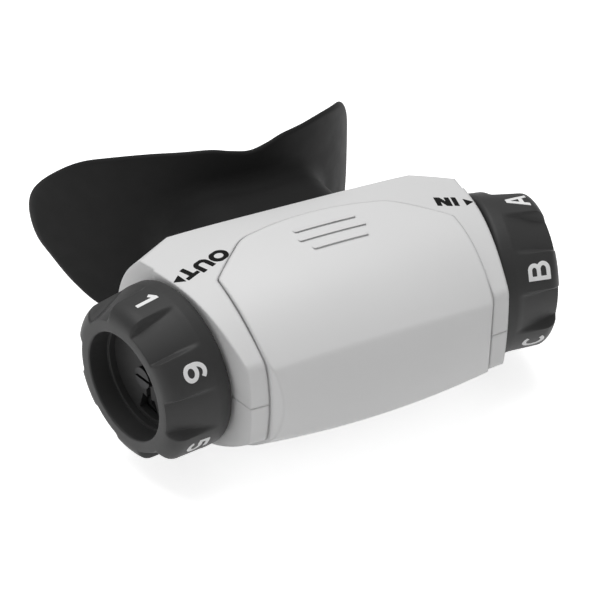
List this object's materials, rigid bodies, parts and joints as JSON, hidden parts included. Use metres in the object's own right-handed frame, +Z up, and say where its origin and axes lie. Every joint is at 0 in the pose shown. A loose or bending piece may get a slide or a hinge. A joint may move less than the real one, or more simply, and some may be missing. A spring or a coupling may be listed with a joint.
{
  "type": "breathing trainer",
  "caption": "Hand-held breathing trainer: pale housing with a click dial at each end for inhale and exhale resistance, a pull-off front unit and a soft black mouthpiece.",
  "frame": {"origin": "centre of the bounding box on the surface that the trainer rests on", "axes": "+X from the exhale dial to the inhale dial, +Y towards the user, +Z up"},
  "size_m": [0.1188, 0.1118, 0.0526],
  "materials": {
    "shell_pale": "fine satin moulding",
    "cover_pale": "fine satin moulding",
    "dial_black": "satin, soft touch",
    "mouth_silicone": "matt silicone",
    "flap_silicone": "smooth silicone",
    "seal_rubber": "matt rubber",
    "valve_grey": "moulded",
    "back_dark": "moulded",
    "steel": "machined",
    "steel_black": "black oxide",
    "board_green": "solder mask",
    "cell_foil": "foil pouch",
    "sensor_black": "moulded package"
  },
  "bodies": {
    "airflow_unit": {"upper_housing": "shell_pale", "lower_housing": "shell_pale", "housing_screws": "steel", "port_seal": "seal_rubber", "out_valve_plate": "valve_grey", "out_spindle": "steel_black", "out_seal_ring": "seal_rubber", "out_click_spring": "steel", "out_flap_pin": "steel", "in_valve_plate": "valve_grey", "in_spindle": "steel_black", "in_seal_ring": "seal_rubber", "in_click_spring": "steel", "in_flap_pin": "steel"},
    "out_dial": {"out_dial": "dial_black"},
    "in_dial": {"in_dial": "dial_black"},
    "out_flap": {"out_flap": "flap_silicone"},
    "in_flap": {"in_flap": "flap_silicone"},
    "control_unit": {"control_cover": "cover_pale", "control_back": "back_dark", "circuit_board": "board_green", "board_screws": "steel", "back_screws": "steel", "battery_cell": "cell_foil", "pressure_sensor": "sensor_black", "charging_socket": "steel"},
    "mouthpiece": {"mouthpiece": "mouth_silicone"}
  },
  "joints": [
    {"name": "out_dial_turn", "type": "hinge", "parent": "airflow_unit", "child": "out_dial", "pos_m": [-0.04106, -0.02678, 0.02624], "axis": [0.9736, 0.2284, 0], "range_deg": [0, 300]},
    {"name": "in_dial_turn", "type": "hinge", "parent": "airflow_unit", "child": "in_dial", "pos_m": [0.04106, -0.02678, 0.02624], "axis": [-0.9736, 0.2284, 0], "range_deg": [0, 300]},
    {"name": "out_flap_swing", "type": "hinge", "parent": "airflow_unit", "child": "out_flap", "pos_m": [-0.03809, -0.02608, 0.03484], "axis": [-0.2284, 0.9736, 0], "range_deg": [0, 25], "stiffness_Nm_per_rad": 0.0002},
    {"name": "in_flap_swing", "type": "hinge", "parent": "airflow_unit", "child": "in_flap", "pos_m": [0.03439, -0.02521, 0.03484], "axis": [0.2284, 0.9736, 0], "range_deg": [0, 25], "stiffness_Nm_per_rad": 0.0002},
    {"name": "control_unit_pull", "type": "slide", "parent": "airflow_unit", "child": "control_unit", "axis": [0, -1, 0], "range_m": [0, 0.035]},
    {"name": "mouthpiece_pull", "type": "slide", "parent": "airflow_unit", "child": "mouthpiece", "axis": [0, 1, 0], "range_m": [0, 0.03]}
  ]
}
